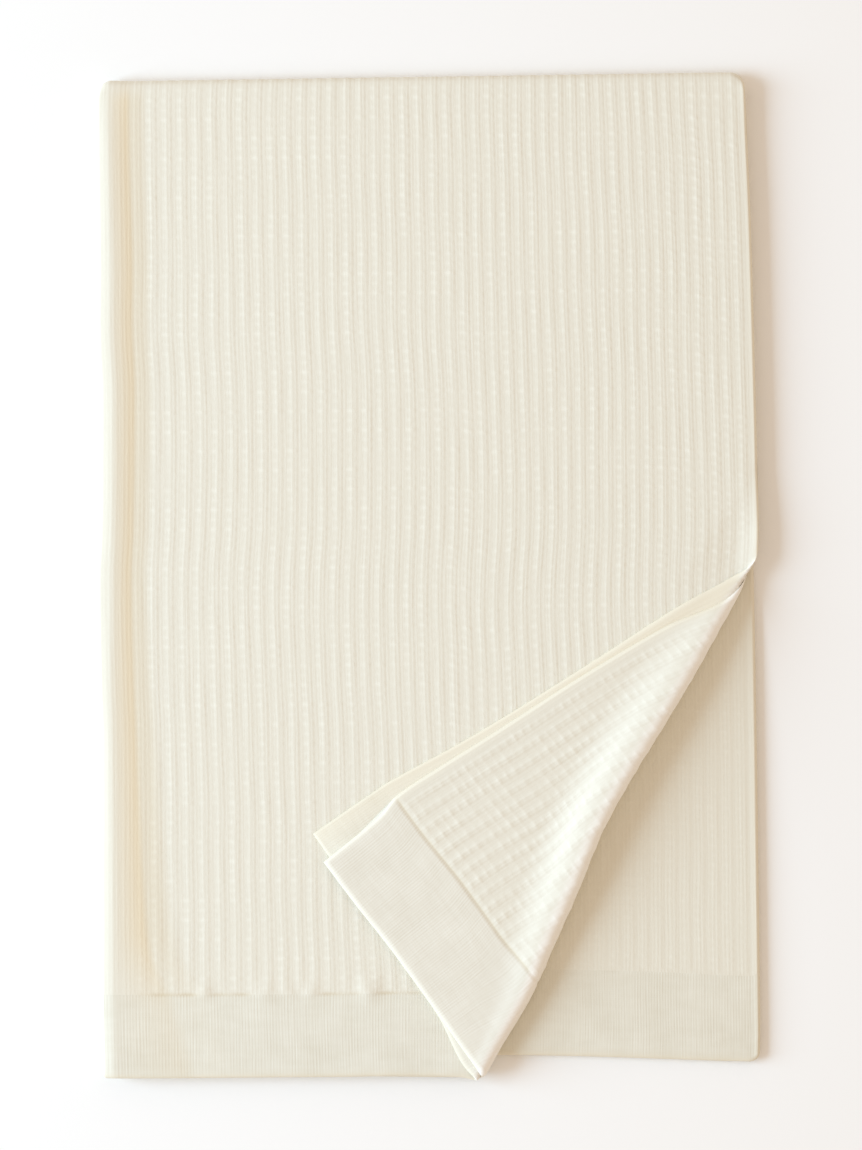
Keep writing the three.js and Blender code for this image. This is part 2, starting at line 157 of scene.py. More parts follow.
# The open selvedges: where the outer and the inner ply of a leaf end.
upper_selvedges = [
    {"along": 0, "outer": 314, "inner": 310},
    {"along": 25, "outer": 315.5, "inner": 311.5},
    {"along": 125, "outer": 320, "inner": 316},
    {"along": 245, "outer": 323.5, "inner": 319.5},
    {"along": 365, "outer": 326.5, "inner": 322.5},
    {"along": 450, "outer": 327.8, "inner": 323},
    {"along": 523, "outer": 325, "inner": 311},
    {"along": 582, "outer": 328.2, "inner": 317.8},
    {"along": 680, "outer": 332, "inner": 325.2},
    {"along": 780, "outer": 337, "inner": 329},
    {"along": 850, "outer": 343, "inner": 332.4},
    {"along": 902, "outer": 349.5, "inner": 333.6},
    {"along": 930, "outer": 350.3, "inner": 326.5},
    {"along": 1000, "outer": 350.7, "inner": 321},
]
lower_selvedges = [
    {"along": 0, "outer": 314, "inner": 310},
    {"along": 490, "outer": 321, "inner": 323},
    {"along": 970, "outer": 328, "inner": 330},
    {"along": 1000, "outer": 327.5, "inner": 329.5},
]

# The hems: where each leaf ends, from the inner selvedge round the lengthwise fold to the outer selvedge.
upper_hem = [
    {"across": -650, "y": -509.5},
    {"across": -600, "y": -508},
    {"across": -540, "y": -504.5},
    {"across": -400, "y": -503},
    {"across": -9, "y": -500},
    {"across": 9, "y": -503},
    {"across": 200, "y": -502},
    {"across": 330, "y": -502},
    {"across": 372, "y": -512},
    {"across": 430, "y": -504},
    {"across": 650, "y": -502},
]
lower_hem = [
    {"across": -650, "y": -488},
    {"across": -400, "y": -481},
    {"across": -200, "y": -487},
    {"across": -9, "y": -492},
    {"across": 9, "y": -492},
    {"across": 200, "y": -486},
    {"across": 400, "y": -479.5},
    {"across": 650, "y": -486},
]
hem_corner = 10

# The hem bands are drawn out to different lengths, most on the turned corner.
upper_band = [
    {"across": -650, "length": 96},
    {"across": -330, "length": 94},
    {"across": -9, "length": 84},
    {"across": 650, "length": 84},
]
lower_band = [
    {"across": -650, "length": 88},
    {"across": 650, "length": 88},
]

# The cross fold: a straight line that rises to the right and rounds off at both ends. Past it the rows sag a
# little towards its open end.
cross_fold_y = 499.2
cross_fold_slope = 0.01466
cross_fold_corner = 15
cross_fold_end = 314
side_fold_corner = 13
row_sag_width = 100
row_sag_start = 40

# The turned corner is mirrored on a line that runs from the right edge to the hem. It rises round the roll,
# which is low at the selvedge and tall in the middle, turns over its edge and a flatter crown, and settles on
# the leaf. Where the roll starts its plies are pulled thin: the loft is the share of their thickness left.
roll_start = np.array((322, 15))
roll_end = np.array((54, -500))
roll_line = (roll_end - roll_start) / np.linalg.norm(roll_end - roll_start)
roll_across = np.array((-roll_line[1], roll_line[0]))
roll = [
    {"out": -40, "height": 5.6, "edge": 2.6, "loft": 0.5, "swing": 11},
    {"out": -8, "height": 5.6, "edge": 2.6, "loft": 0.5, "swing": 5.6},
    {"out": 6, "height": 5.8, "edge": 2.7, "loft": 0.5, "swing": 4.4},
    {"out": 22, "height": 6.8, "edge": 3, "loft": 0.6, "swing": 4},
    {"out": 40, "height": 9.4, "edge": 3.8, "loft": 0.75, "swing": 3.6},
    {"out": 70, "height": 13, "edge": 5, "loft": 1, "swing": 2.7},
    {"out": 130, "height": 18, "edge": 5.2, "loft": 1, "swing": 0.7},
    {"out": 190, "height": 21, "edge": 5.5, "loft": 1, "swing": -3},
    {"out": 250, "height": 23, "edge": 5.6, "loft": 1, "swing": -7.5},
    {"out": 310, "height": 23.5, "edge": 5.8, "loft": 1, "swing": -8.6},
    {"out": 370, "height": 20, "edge": 7, "loft": 1, "swing": -2.8},
    {"out": 430, "height": 16, "edge": 8, "loft": 1, "swing": 1.4},
    {"out": 490, "height": 12.5, "edge": 7, "loft": 1, "swing": 5},
    {"out": 550, "height": 10.5, "edge": 5.5, "loft": 1, "swing": 1.6},
    {"out": 580, "height": 10, "edge": 5, "loft": 1, "swing": 1},
]
crown_ratio = 2
settle_ratio = 3.4
take_up_ratio = 2.6
thinning = (-50, -20)
far_from_roll = -1000

# What shows: the upper leaf's outer ply until it turns under, its inner ply once it turns up, and the lower
# leaf beside the roll. The turned corner covers the upper leaf between the bounds given.
outer_turns_under = (0.45, 0.3)
inner_turns_up = (0, 0.15)
lower_shows = (-60, -45)
covered_from_roll = -70
covered_to_right = 300
covered_to_hem = -470
roll_margin = 15

# The stretches of the hem seam that are pulled in deepest, and the nubs that stand up beside it, on the upper
# leaf. The seam is drawn in evenly on the turned corner, and shows as a fine raised thread on the lower leaf.
seam_dashes = [
    {"start": 42, "end": 92},
    {"start": 102, "end": 137},
    {"start": 202, "end": 237},
    {"start": 254, "end": 297},
]
seam_nubs = [
    {"across": 97, "size": 6, "height": 1},
    {"across": 152, "size": 9, "height": 0.9},
    {"across": 172, "size": 7, "height": 0.7},
    {"across": 193, "size": 6, "height": 1},
    {"across": 246, "size": 9, "height": 1.7},
    {"across": 312, "size": 8, "height": 1.8},
]
nub_from_seam = 4
nub_stretch = 0.8
dash_ease = 5
dash_share = 0.48
dash_waver = [{"size": 0.14, "length": 4.1}, {"size": 0.12, "length": 9.7}]
corner_seam_share = 0.6
upper_thread = 0.3
lower_thread = 0.25
lower_thread_waver = {"size": 0.15, "length": 5}

# Where light and shade are painted into the yarn's colour. Stretches of the ridge's far slope are in shares
# of
# its reach: 0 is the crest and 1 the slope's end. Warm shade is painted on that slope, less so at the hem.
slope_warm_shade = 0.75
slope_shade_begins = (-0.05, 0.85)
slope_shade_ends = (1.1, 0.9)
crease_warm_shade = 0.2
crease_shade_ends = (1.85, 1.4)
fold_begins = (0, 20)
hem_nears = (860, 930)
hem_shade_loss = 0.75
# Warm shade is also painted on the rims, and on the strip of the under ply that peeks out.
rim_share = 0.35
rim_reach = (6, 1)
under_ply_share = 0.45
under_ply_reach = (30, 20)
# Light is painted round the shaded edge of the roll, and the hem of the turned corner is made paler.
lit_edge_begins = (0.35, 0.6)
lit_edge_ends = (1.2, 0.95)
turned_hem_paler = 0.2
hem_turns = (0.9, 1.3)
# Shade is painted to dim the light on the fold's edge, as a shadow in the hollow past its crease, on the
# lower leaf and in the hem seam.
fold_edge_painted_shade = 0.12
fold_edge_ends = (0.1, -0.1)
hollow_painted_shadow = 0.24
hollow_begins = (0.85, 1.05)
hollow_ends = (1.95, 1.5)
lower_leaf_painted_shade = 0.08
seam_painted_shade = 0.7

# How finely the flat cloth is divided: the parts of a cell where its face shows and where its back bends
# round the roll, and the lines over the lengthwise fold, the cross fold, the hem seams and the rims.
face_parts = (12, 8)
back_parts = (6, 8)
side_fold_lines = range(-5, 19)
side_fold_step = rib_pitch / 6
cross_fold_lines = range(-4, 5)
cross_fold_step = 1.8
seam_lines = (-2, -1, -0.5, 0, 0.5, 1)
rim_lines = (0.1, 0.35, 1)
level_slack = 0.01

# The yarn. Single fibres are too fine to show, so their fuzz is drawn about 4 mm wide. Rows and beads come
# and go in patches. A tone lies between the two colours of its finish by how high the yarn stands: painted
# shade where it lies deep, painted light where it stands high, over the yarn's own uneven tone.
fuzz_size = 4.1667
patch_width = 16.667
patch_length = 45.4545
patch_bounds = (0.4, 0.64)
waffle_depth = 0.02
waffle_course = 2.46
jersey_depth = 0.055
jersey_stitch = 2.77
jersey_course = 2.1
bead_share = 0.6
bead_unevenness = 0.5
bead_sharpness = 1.5
tone_below = 3.5
tone_above = 4.5
# The tints: painted warm shade, painted shade, and painted light.
tints = {"painted_warm_shade": "#ecdec1", "painted_shade": "#d3c2a0", "painted_light": "#fbf7ee"}

# The studio, in metres: a floor, one soft light from the left, and a camera straight above.
floor_half_size = 8
key_place = (-5.5, -0.2, 2.6)
key_size = 3.6
key_power = 480
fill_strength = 0.71
camera_height = 4.0
cloth_top = 0.017
photo_height = 1.150
sensor_height = 36


def ramp(value, start, end):
    """Rises from 0 to 1 as the value goes from one bound to the other."""
    return np.clip((value - start) / (end - start), 0, 1)


def read(rows, place, column):
    """A smooth curve through a column of a table, level beyond its ends. The first column is the place."""
    key = next(iter(rows[0]))
    places = np.array([row[key] for row in rows], dtype=float)
    values = np.array([row[column] for row in rows], dtype=float)
    rises = np.append(values[1:], values[-1]) - np.append(values[0], values[:-1])
    spans = np.append(places[1:], places[-1]) - np.append(places[0], places[:-1])
    slopes = rises / spans
    spot = np.clip(place, places[0], places[-1])
    start = np.clip(np.searchsorted(places, spot, side="right") - 1, 0, len(rows) - 2)
    span = places[start + 1] - places[start]
    part = (spot - places[start]) / span
    bend = part * part * (3 - 2 * part)
    leave = part * (1 - part) ** 2 * span * slopes[start]
    arrive = part * part * (part - 1) * span * slopes[start + 1]
    return values[start] * (1 - bend) + values[start + 1] * bend + leave + arrive


def corner_drop(distance, radius):
    """How far a corner of the given radius is drawn in, at a distance from the end of its edge."""
    inside = np.clip(radius - distance, 0, radius)
    return radius - np.sqrt(radius * radius - inside * inside)


def slope_share(past, along):
    """How far down the ridge's far slope a place past the fold lies: 0 on the crest, 1 at the slope's end."""
    return (past - read(side_fold, along, "climb")) / read(side_fold, along, "reach")


def ridge_height(past, along):
    """The height of the ridge beside the lengthwise fold. It ends on the cross fold."""
    height = np.maximum(read(side_fold, along, "height"), 0) * ramp(along, -ridge_start, 0)
    climb = read(side_fold, along, "climb")
    share = slope_share(past, along)
    crease_fall = 1 - ridge_crease * (ridge_kink + (1 - ridge_kink) * ridge_crease)
    crease_slope = ridge_kink + 2 * (1 - ridge_kink) * ridge_crease
    ease_out = np.clip(1 - (share - ridge_crease) * crease_slope / (2 * crease_fall), 0, 1)
    slope_down = 1 - share * (ridge_kink + (1 - ridge_kink) * share)
    fall = np.where(share < ridge_crease, slope_down, crease_fall * ease_out ** 2)
    return height * np.where(share < 0, past / climb, fall)


def side_section(across, along, lift):
    """The section through the lengthwise fold: distance from it, and height above the leaf's middle."""
    tilt = np.arctan((ridge_height(ridge_tilt_span, along) - ridge_height(0, along)) / ridge_tilt_span)
    turn = (np.clip(across / side_fold_run, -1, 1) + 1) / 2 * (math.pi - tilt)
    radius = ply_offset + lift
    past = np.maximum(across - side_fold_run, 0)
    ahead = ridge_height(past + ridge_slope_span, along)
    behind = ridge_height(past - ridge_slope_span, along)
    slope = (ahead - behind) / (2 * ridge_slope_span)
    length = np.hypot(1, slope)
    inner = across <= -side_fold_run
    bent = across < side_fold_run
    top_out = past - ply_offset * np.sin(tilt) - lift * slope / length
    out = np.where(bent, -radius * np.sin(turn), top_out)
    top_rise = ply_offset * np.cos(tilt) + ridge_height(past, along) + lift / length
    rise = np.where(bent, -radius * np.cos(turn), top_rise)
    return np.where(inner, -across - side_fold_run, out), np.where(inner, -ply_offset - lift, rise)


def by_ply(across, along, rows_above, rows_below):
    """The selvedge of each point's own ply."""
    above = np.where(across > 0, read(rows_above, along, "outer"), read(rows_above, along, "inner"))
    below = np.where(across > 0, read(rows_below, -along, "outer"), read(rows_below, -along, "inner"))
    return np.where(along > 0, above, below)


def draw_out_hem(across, along):
    """Moves the seam to where each hem band begins, and draws out the band and the field beside it."""
    band = np.where(along > 0, read(upper_band, across, "length"), read(lower_band, across, "length"))
    place = np.abs(along)
    in_field = place * (half_length - band) / seam_along
    in_band = half_length - (half_length - place) * band / hem_band
    return np.sign(along) * np.where(place < seam_along, in_field, in_band)


def sway(across, along):
    """How far a rib wanders sideways."""
    hold = ramp(half_width - np.abs(across), *sway_from_selvedge) * ramp(np.abs(across), *sway_from_fold)
    bend = slow_sway["bend"] * np.sin(across / slow_sway["bend_length"])
    slow = np.sin(along / slow_sway["along"] + across / slow_sway["across"] + bend)
    bend = quick_sway["bend"] * np.sin(along / quick_sway["bend_length"])
    quick = np.sin(along / quick_sway["along"] - across / quick_sway["across"] + bend)
    return rib_sway * hold * (slow + quick_sway_share * quick)


def lay_flat(across, along, lift):
    """The leaves laid out flat, before the corner is turned back."""
    along = draw_out_hem(across, along)
    out, height = side_section(across, along, lift)
    left = read(side_fold, along, "x")
    edge = by_ply(across, along, upper_selvedges, lower_selvedges)
    share = out / flat_width
    share = share + np.where(across > 0, rib_spread * share * (1 - share), 0)
    x = left + np.where(out > 0, (edge - left) * share, out) + sway(across, along)
    outer_edge = by_ply(np.abs(across), along, upper_selvedges, lower_selvedges)
    sink = (1 - ramp(outer_edge - x, 0, edge_sink_reach)) ** 2 * ramp(np.abs(along), *sink_begins)
    sink = sink * np.where(along > 0, ramp(along, *sink_ends), lower_sink)
    sink = sink * np.where(across > 0, 1, inner_sink)
    height = height - np.where((along < 0) & (across > 0), 0, np.sign(along) * edge_sink * sink)
    beyond = np.abs(along) - cross_fold_run
    corner = corner_drop(cross_fold_end - x, cross_fold_corner)
    sag = ramp(x, cross_fold_end - row_sag_width, cross_fold_end)
    sag = cross_fold_corner * sag * sag * (3 - 2 * sag)
    corner = corner + (sag - corner) * ramp(beyond, 0, row_sag_start)
    corner = corner + corner_drop(x - left + ply_pitch, side_fold_corner)
    crest = cross_fold_y + cross_fold_slope * x - corner
    centre = crest - ply_pitch - ply_offset - half_thickness
    round_off = corner_drop(half_width - np.abs(across), hem_corner)
    hem = np.where(along > 0, read(upper_hem, across, "y"), read(lower_hem, across, "y") + round_off)
    angle = np.clip(along / ply_pitch, -math.pi / 2, math.pi / 2)
    radius = ply_pitch + height
    in_turn = centre + radius * np.cos(angle)
    y = np.where(beyond < 0, in_turn, centre - beyond / flat_length * (centre - hem))
    return x, y, stack_middle + radius * np.sin(angle)


def roll_at(x, y):
    """The roll at points of the upper leaf: its shape there, and where its cloth begins to turn."""
    out = (x - roll_start[0]) * roll_line[0] + (y - roll_start[1]) * roll_line[1]
    side = (x - roll_start[0]) * roll_across[0] + (y - roll_start[1]) * roll_across[1]
    height = read(roll, out, "height")
    edge = read(roll, out, "edge")
    loft = read(roll, out, "loft")
    settle = np.arccos(1 - (height - 2 * ply_pitch * loft) / ((crown_ratio + settle_ratio) * height))
    start = read(roll, out, "swing") - (height - edge) - (ply_offset + half_thickness) * loft
    return out, side, height, edge, loft, settle, start


def fold(across, along, lift):
    """The points of the folded throw. The corner rises, turns over an edge and a crown, and comes down."""
    x, y, z = lay_flat(across, along, lift)
    out, side, tall, edge, loft, settle, start = roll_at(x, y)
    entered = np.where(along < cross_fold_run, far_from_roll, side - start)
    run = np.maximum(entered, 0)
    root = tall - edge
    crown = crown_ratio * tall
    easing = settle_ratio * tall
    half_turn = math.pi / 2 * tall
    rising = np.minimum(run / root, math.pi / 2)
    tipping = np.clip((run - math.pi / 2 * root) / edge, 0, math.pi / 2)
    on_crown = np.clip((run - half_turn) / crown, 0, settle)
    past = np.maximum(run - half_turn - crown * settle, 0)
    flat = np.maximum(past - easing * settle, 0)
    dip = on_crown - (past - flat) / easing
    heading = rising + tipping + dip
    surplus = 2 * start + root - edge + half_turn + (crown + easing) * (settle - np.sin(settle))
    taken = ramp(run - half_turn, 0, take_up_ratio * tall)
    back = edge * (1 - np.cos(tipping)) + crown * np.sin(on_crown)
    back = back + surplus * taken * taken * (3 - 2 * taken)
    back = back + np.where(past > 0, easing * (np.sin(settle) - np.sin(dip)) + flat, 0)
    down = crown * (1 - np.cos(on_crown)) + np.where(past > 0, easing * (np.cos(dip) - np.cos(settle)), 0)
    height = (z - upper_leaf_middle) * (1 - (1 - loft) * ramp(entered, *thinning))
    reach = start + root * np.sin(rising) - back - height * np.sin(heading)
    up = root * (1 - np.cos(rising)) + edge * np.sin(tipping) - down + height * np.cos(heading)
    rolled = run > 0
    x = np.where(rolled, roll_start[0] + roll_line[0] * out + roll_across[0] * reach, x)
    y = np.where(rolled, roll_start[1] + roll_line[1] * out + roll_across[1] * reach, y)
    z = upper_leaf_middle + np.where(rolled, up, height)
    pull = ramp(x, roll_start[0] - pull_reach, roll_start[0] + pull_past) ** pull_curve
    pull = pull * ramp(y, *pull_begins) * ramp(y, *pull_ends)
    return x, y, z + np.where(along < cross_fold_run, 0, pull_rise * pull)


def turned_share(across, along):
    """How far round the roll each point is: 0 where the roll starts, 1 once the cloth is upside down."""
    x, y, _ = lay_flat(across, along, 0 * across)
    _, side, height, _, _, _, start = roll_at(x, y)
    return np.where(along < cross_fold_run, -1, (side - start) / (math.pi / 2 * height))


def shown(across, along):
    """How much of the knitted face shows: upper leaf, turned corner, and lower leaf beside the corner."""
    x, y, _ = lay_flat(across, along, 0 * across)
    _, side, _, _, _, _, _ = roll_at(x, y)
    turned = turned_share(across, along)
    upper_outer = ramp(along, -cross_fold_run, 0) * ramp(turned, *outer_turns_under)
    upper_inner = ramp(turned, *inner_turns_up)
    lower_inner = ramp(side, *lower_shows)
    return np.where(across > 0, upper_outer, np.where(along > 0, upper_inner, lower_inner))


def waffle_share(across, along):
    """How far the waffle is raised: fully on the field, not at the selvedges, the hems and the ridge."""
    selvedge = ramp(half_width - np.abs(across), *waffle_start)
    field = ramp(np.abs(along), seam_along, seam_along - 2 * seam_spread)
    ridge = np.where(across > 0, ramp(across, ridge_end - rib_pitch / 2, ridge_end + rib_pitch / 2), 1)
    return selvedge * field * ridge * shown(across, along) * np.where(along < 0, lower_waffle, 1)


def knit_relief(across, along):
    """The waffle on the face: ribs down the cloth, crossed by rows that end a rib before the selvedges."""
    turn = 2 * math.pi * across / rib_pitch
    rib = np.cos(turn) + rib_crest * np.cos(2 * turn)
    step = 2 * math.pi * along / row_pitch
    row = row_shares[0] * np.cos(step) + row_shares[1] * np.cos(2 * step)
    row = row * ramp(half_width - np.abs(across), rib_pitch, 2 * rib_pitch)
    slow = np.sin(along / slow_unevenness["along"] + across / slow_unevenness["across"])
    quick = np.sin(along / quick_unevenness["along"] - across / quick_unevenness["across"])
    unevenness = 1 + rib_unevenness * slow + rib_unevenness * quick
    waffle = rib_relief * rib * (unevenness + row_on_rib * row) + row_relief * row
    return waffle * waffle_share(across, along) * np.where((along > 0) & (across < 0), corner_waffle, 1)


def seam_line(across, along):
    """How near a place is to the middle of the hem seam: 1 on it, 0 beside it."""
    near = ramp(np.abs(np.abs(along) - seam_along), seam_spread, 0)
    return near * ramp(half_width - np.abs(across), *seam_start)


def seam_groove(across, along):
    """How far the seam is drawn in: along dashes on the upper leaf, evenly on the turned corner."""
    dash = 0 * across
    for stretch in seam_dashes:
        inside = ramp(across, stretch["start"] - dash_ease, stretch["start"] + dash_ease)
        inside = inside * ramp(across, stretch["end"] + dash_ease, stretch["end"] - dash_ease)
        dash = np.maximum(dash, inside)
    uneven = dash_share
    for waver in dash_waver:
        uneven = uneven + waver["size"] * np.sin(across / waver["length"])
    dash = np.where(across > 0, uneven * dash, corner_seam_share)
    return np.where(along > 0, dash * seam_line(across, along), 0)


def seam_welt(across, along):
    """The thread of the seam where it stands up: a fine line on each leaf, and the nubs of the upper leaf."""
    waver = lower_thread_waver["size"] * np.sin(across / lower_thread_waver["length"])
    thread = np.where(along > 0, upper_thread * (across > 0), (lower_thread + waver) * (across < 0))
    welt = thread * seam_line(across, along)
    for nub in seam_nubs:
        off_along = (along - seam_along + nub_from_seam) * nub_stretch
        off = np.hypot(across - nub["across"], off_along) / nub["size"]
        welt = welt + nub["height"] * np.exp(-off * off)
    return welt


def rim_distance(across, along):
    """How far in from the nearest edge of the flat cloth a place lies."""
    return np.minimum(half_width - np.abs(across), half_length - np.abs(along))


def ridge_painted_warm_shade(across, along):
    """How much warm shade is painted on the ridge's far slope: none on the crest, most just above the crease.
    """
    share = slope_share(across - side_fold_run, along)
    slope = slope_warm_shade * ramp(share, *slope_shade_ends)
    crease = crease_warm_shade * ramp(share, *crease_shade_ends)
    shade = ramp(share, *slope_shade_begins) * (slope + crease) * (1 - hem_shade_loss * ramp(along, *hem_nears))
    return np.where((along > 0) & (across > 0), shade * ramp(along, *fold_begins), 0)


def rim_painted_warm_shade(across, along):
    """How much warm shade is painted on the rims, and on the strip of the under ply."""
    turned = turned_share(across, along)
    under = under_ply_share * ramp(half_width - across, *under_ply_reach) * ramp(turned, *under_ply_turns)
    rim = rim_share * ramp(rim_distance(across, along), *rim_reach)
    return np.maximum(rim, np.where((along > 0) & (across > 0), under, 0))


def roll_painted_light(across, along):
    """How much light is painted round the shaded edge of the roll, and how much paler the turned hem is made.
    """
    turned = turned_share(across, along)
    edge = ramp(turned, *lit_edge_begins) * ramp(turned, *lit_edge_ends)
    hem = np.where((across < 0) & (along > seam_along), turned_hem_paler * ramp(turned, *hem_turns), 0)
    return np.where(along > 0, np.maximum(edge, hem), 0)


def ridge_and_leaf_painted_shade(across, along):
    """How much shade is painted: dimming the fold's lit edge, shadow past its crease, and on the lower leaf.
    """
    share = slope_share(across - side_fold_run, along)
    edge = fold_edge_painted_shade * ramp(across, -side_fold_run, 0) * ramp(share, *fold_edge_ends)
    hollow = hollow_painted_shadow * ramp(share, *hollow_begins) * ramp(share, *hollow_ends)
    hollow = hollow * ramp(along, hem_nears[1], hem_nears[0]) * ramp(along, *fold_begins)
    return np.where(along > 0, edge + hollow, lower_leaf_painted_shade * (across < 0))


def edge_shape(across, along):
    """The bead along each edge, and how far the turned corner's rims draw down to what they lie on."""
    rim = rim_distance(across, along)
    bead = edge_bead * np.exp(-(((rim - edge_bead_width) / edge_bead_width) ** 2))
    droop = edge_droop * (1 - ramp(rim, 0, edge_droop_reach)) ** 2
    turned = turned_share(across, along)
    outer_ply = (across > 0) & (along > 0)
    bead = bead * np.where(outer_ply, 1 - ramp(turned, *bead_ends) * ramp(turned, *bead_begins), 1)
    under = -under_droop * ramp(turned, *under_ply_turns)
    upper = ramp(turned, *droop_begins) * (along > 0)
    return bead, np.where(outer_ply, under, upper) * droop


def face_lift(across, along):
    """The height of the knitted face above the middle of the cloth."""
    seam = seam_welt(across, along) - seam_depth * seam_groove(across, along)
    return half_thickness + knit_relief(across, along) + seam


def covered_place(across, along):
    """Whether points of the upper leaf lie under the turned corner: the corner is their mirror image."""
    x, y, _ = lay_flat(across, along, 0 * across)
    _, side, _, _, _, _, _ = roll_at(x, y)
    mirror_x = x - 2 * side * roll_across[0]
    mirror_y = y - 2 * side * roll_across[1]
    return (side < covered_from_roll) & (mirror_x < covered_to_right) & (mirror_y > covered_to_hem)


def roll_place(across, along):
    """Whether these places bend round the roll."""
    x, y, _ = lay_flat(across, along, 0 * across)
    _, side, height, _, _, settle, start = roll_at(x, y)
    run = side - start
    bend = height * (math.pi / 2 + (crown_ratio + settle_ratio) * settle)
    return (along > cross_fold_run) & (run > -roll_margin) & (run < bend + roll_margin)


def fine_place(across, along):
    """Whether the face is divided finely at these places: where it shows or bends round the roll."""
    covered = (across > 0) & (along > 0) & covered_place(across, along)
    return (shown(across, along) > 0) & ~covered | roll_place(across, along)


def divide(cloth, level, choose, parts_across, parts_along):
    """Divides the cells on one level of the flat cloth that have a corner at a chosen place."""
    verts = [vert for vert in cloth.verts if abs(vert.co.z - level) < level_slack]
    spots = np.array([vert.co for vert in verts])
    chosen = {vert for vert, take in zip(verts, choose(spots[:, 0], spots[:, 1])) if take}
    cells = [face for face in cloth.faces if abs(face.calc_center_median().z - level) < level_slack]
    picked = [cell for cell in cells if any(vert in chosen for vert in cell.verts)]
    ends = {edge: edge.verts[1].co - edge.verts[0].co for cell in picked for edge in cell.edges}
    side_edges = [edge for edge, end in ends.items() if abs(end.x) > abs(end.y)]
    done = bmesh.ops.subdivide_edges(cloth, edges=side_edges, cuts=parts_across - 1, use_grid_fill=True)
    fresh = [item for item in done["geom_inner"] if isinstance(item, bmesh.types.BMEdge)]
    long_edges = [edge for edge, end in ends.items() if edge.is_valid and abs(end.y) > abs(end.x)]
    runs = [edge for edge in fresh if abs(edge.verts[1].co.y - edge.verts[0].co.y) > 1]
    bmesh.ops.subdivide_edges(cloth, edges=long_edges + runs, cuts=parts_along - 1, use_grid_fill=True)


def cut(cloth, place, direction):
    """Adds a straight line of points across the flat cloth, through both its faces."""
    everything = cloth.verts[:] + cloth.edges[:] + cloth.faces[:]
    bmesh.ops.bisect_plane(cloth, geom=everything, dist=0.05, plane_co=place, plane_no=direction)


def split_rim(cloth):
    """Splits the narrow faces round the rim where face and back both have a point, so they bend with it."""
    for face in cloth.faces[:]:
        corners = {(round(vert.co.x, 1), round(vert.co.y, 1), round(vert.co.z)): vert for vert in face.verts}
        places = sorted({place[:2] for place in corners if place[2] == 0})
        matched = [place for place in places if (*place, -1) in corners]
        for place in matched[1:-1]:
            top, bottom = corners[(*place, 0)], corners[(*place, -1)]
            piece, _ = bmesh.utils.face_split(face, top, bottom)
            last = corners[(*matched[-1], 0)]
            face = face if last in face.verts[:] else piece


def flat_cloth():
    """The cloth laid out flat: x is across, y is along, z is 0 on the knitted face and -1 on the back."""
    cloth = bmesh.new()
    bmesh.ops.create_grid(cloth, x_segments=ribs_each_half, y_segments=rows_each_half, size=0.5)
    bmesh.ops.scale(cloth, vec=(cloth_width, cloth_length, 1), verts=cloth.verts)
    back = bmesh.ops.extrude_face_region(cloth, geom=cloth.faces[:], use_keep_orig=True)
    back_points = [item for item in back["geom"] if isinstance(item, bmesh.types.BMVert)]
    bmesh.ops.translate(cloth, vec=(0, 0, -1), verts=back_points)
    divide(cloth, 0, fine_place, *face_parts)
    divide(cloth, -1, roll_place, *back_parts)
    for line in side_fold_lines:
        cut(cloth, (line * side_fold_step, 0, 0), (1, 0, 0))
    for line in cross_fold_lines:
        cut(cloth, (0, line * cross_fold_step, 0), (0, 1, 0))
    for end in (-1, 1):
        for share in seam_lines:
            cut(cloth, (0, end * (seam_along + share * seam_spread), 0), (0, 1, 0))
        for share in rim_lines:
            cut(cloth, (0, end * (half_length - share * edge_round), 0), (0, 1, 0))
            cut(cloth, (end * (half_width - share * edge_round), 0, 0), (1, 0, 0))
    split_rim(cloth)
    cut(cloth, (0, 0, -0.5), (0, 0, 1))
    return cloth


